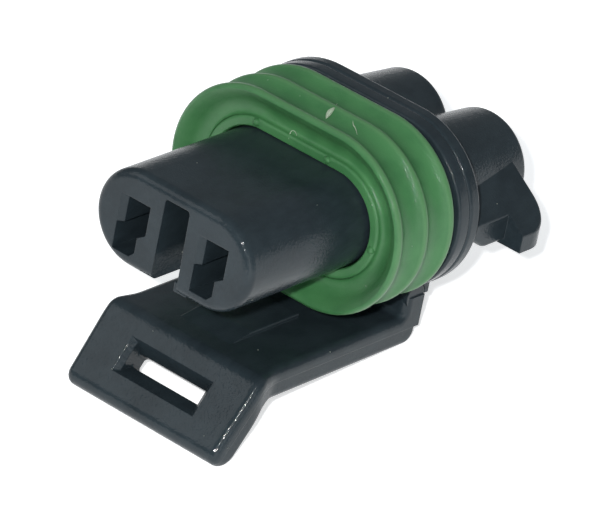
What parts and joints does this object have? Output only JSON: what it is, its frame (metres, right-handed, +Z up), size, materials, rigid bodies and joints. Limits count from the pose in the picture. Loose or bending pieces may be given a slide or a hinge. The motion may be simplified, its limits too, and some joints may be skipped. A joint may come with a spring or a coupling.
{
  "type": "sealed wire connector housing",
  "caption": "Black moulded connector housing with a green ribbed interface seal, an oval spigot, a latch arm with a window tab below, wire tubes and side ears behind.",
  "frame": {"origin": "middle of the bounding box's footprint, on the surface that the part lies on", "axes": "+Z up, +Y towards the wire end, X across the two cavities. The plug axis is tipped 11.2 degrees nose up, because the part lies on the tip and heel of its latch arm"},
  "size_m": [0.0254, 0.0364, 0.0213],
  "materials": {
    "black_nylon": "black glass-filled nylon, moulded, satin with a fine spark texture",
    "green_silicone": "mid green silicone, semi-matt with a thin oily film in the grooves"
  },
  "bodies": {
    "housing": {"housing": "black_nylon", "interface_seal": "green_silicone"},
    "latch": {"latch_arm": "black_nylon"}
  },
  "joints": [
    {"name": "latch_flex", "type": "hinge", "parent": "housing", "child": "latch", "pos_m": [0, 0.00568, 0.00431], "axis": [1, 0, 0], "range_deg": [0, 6], "stiffness_Nm_per_rad": 0.6}
  ]
}
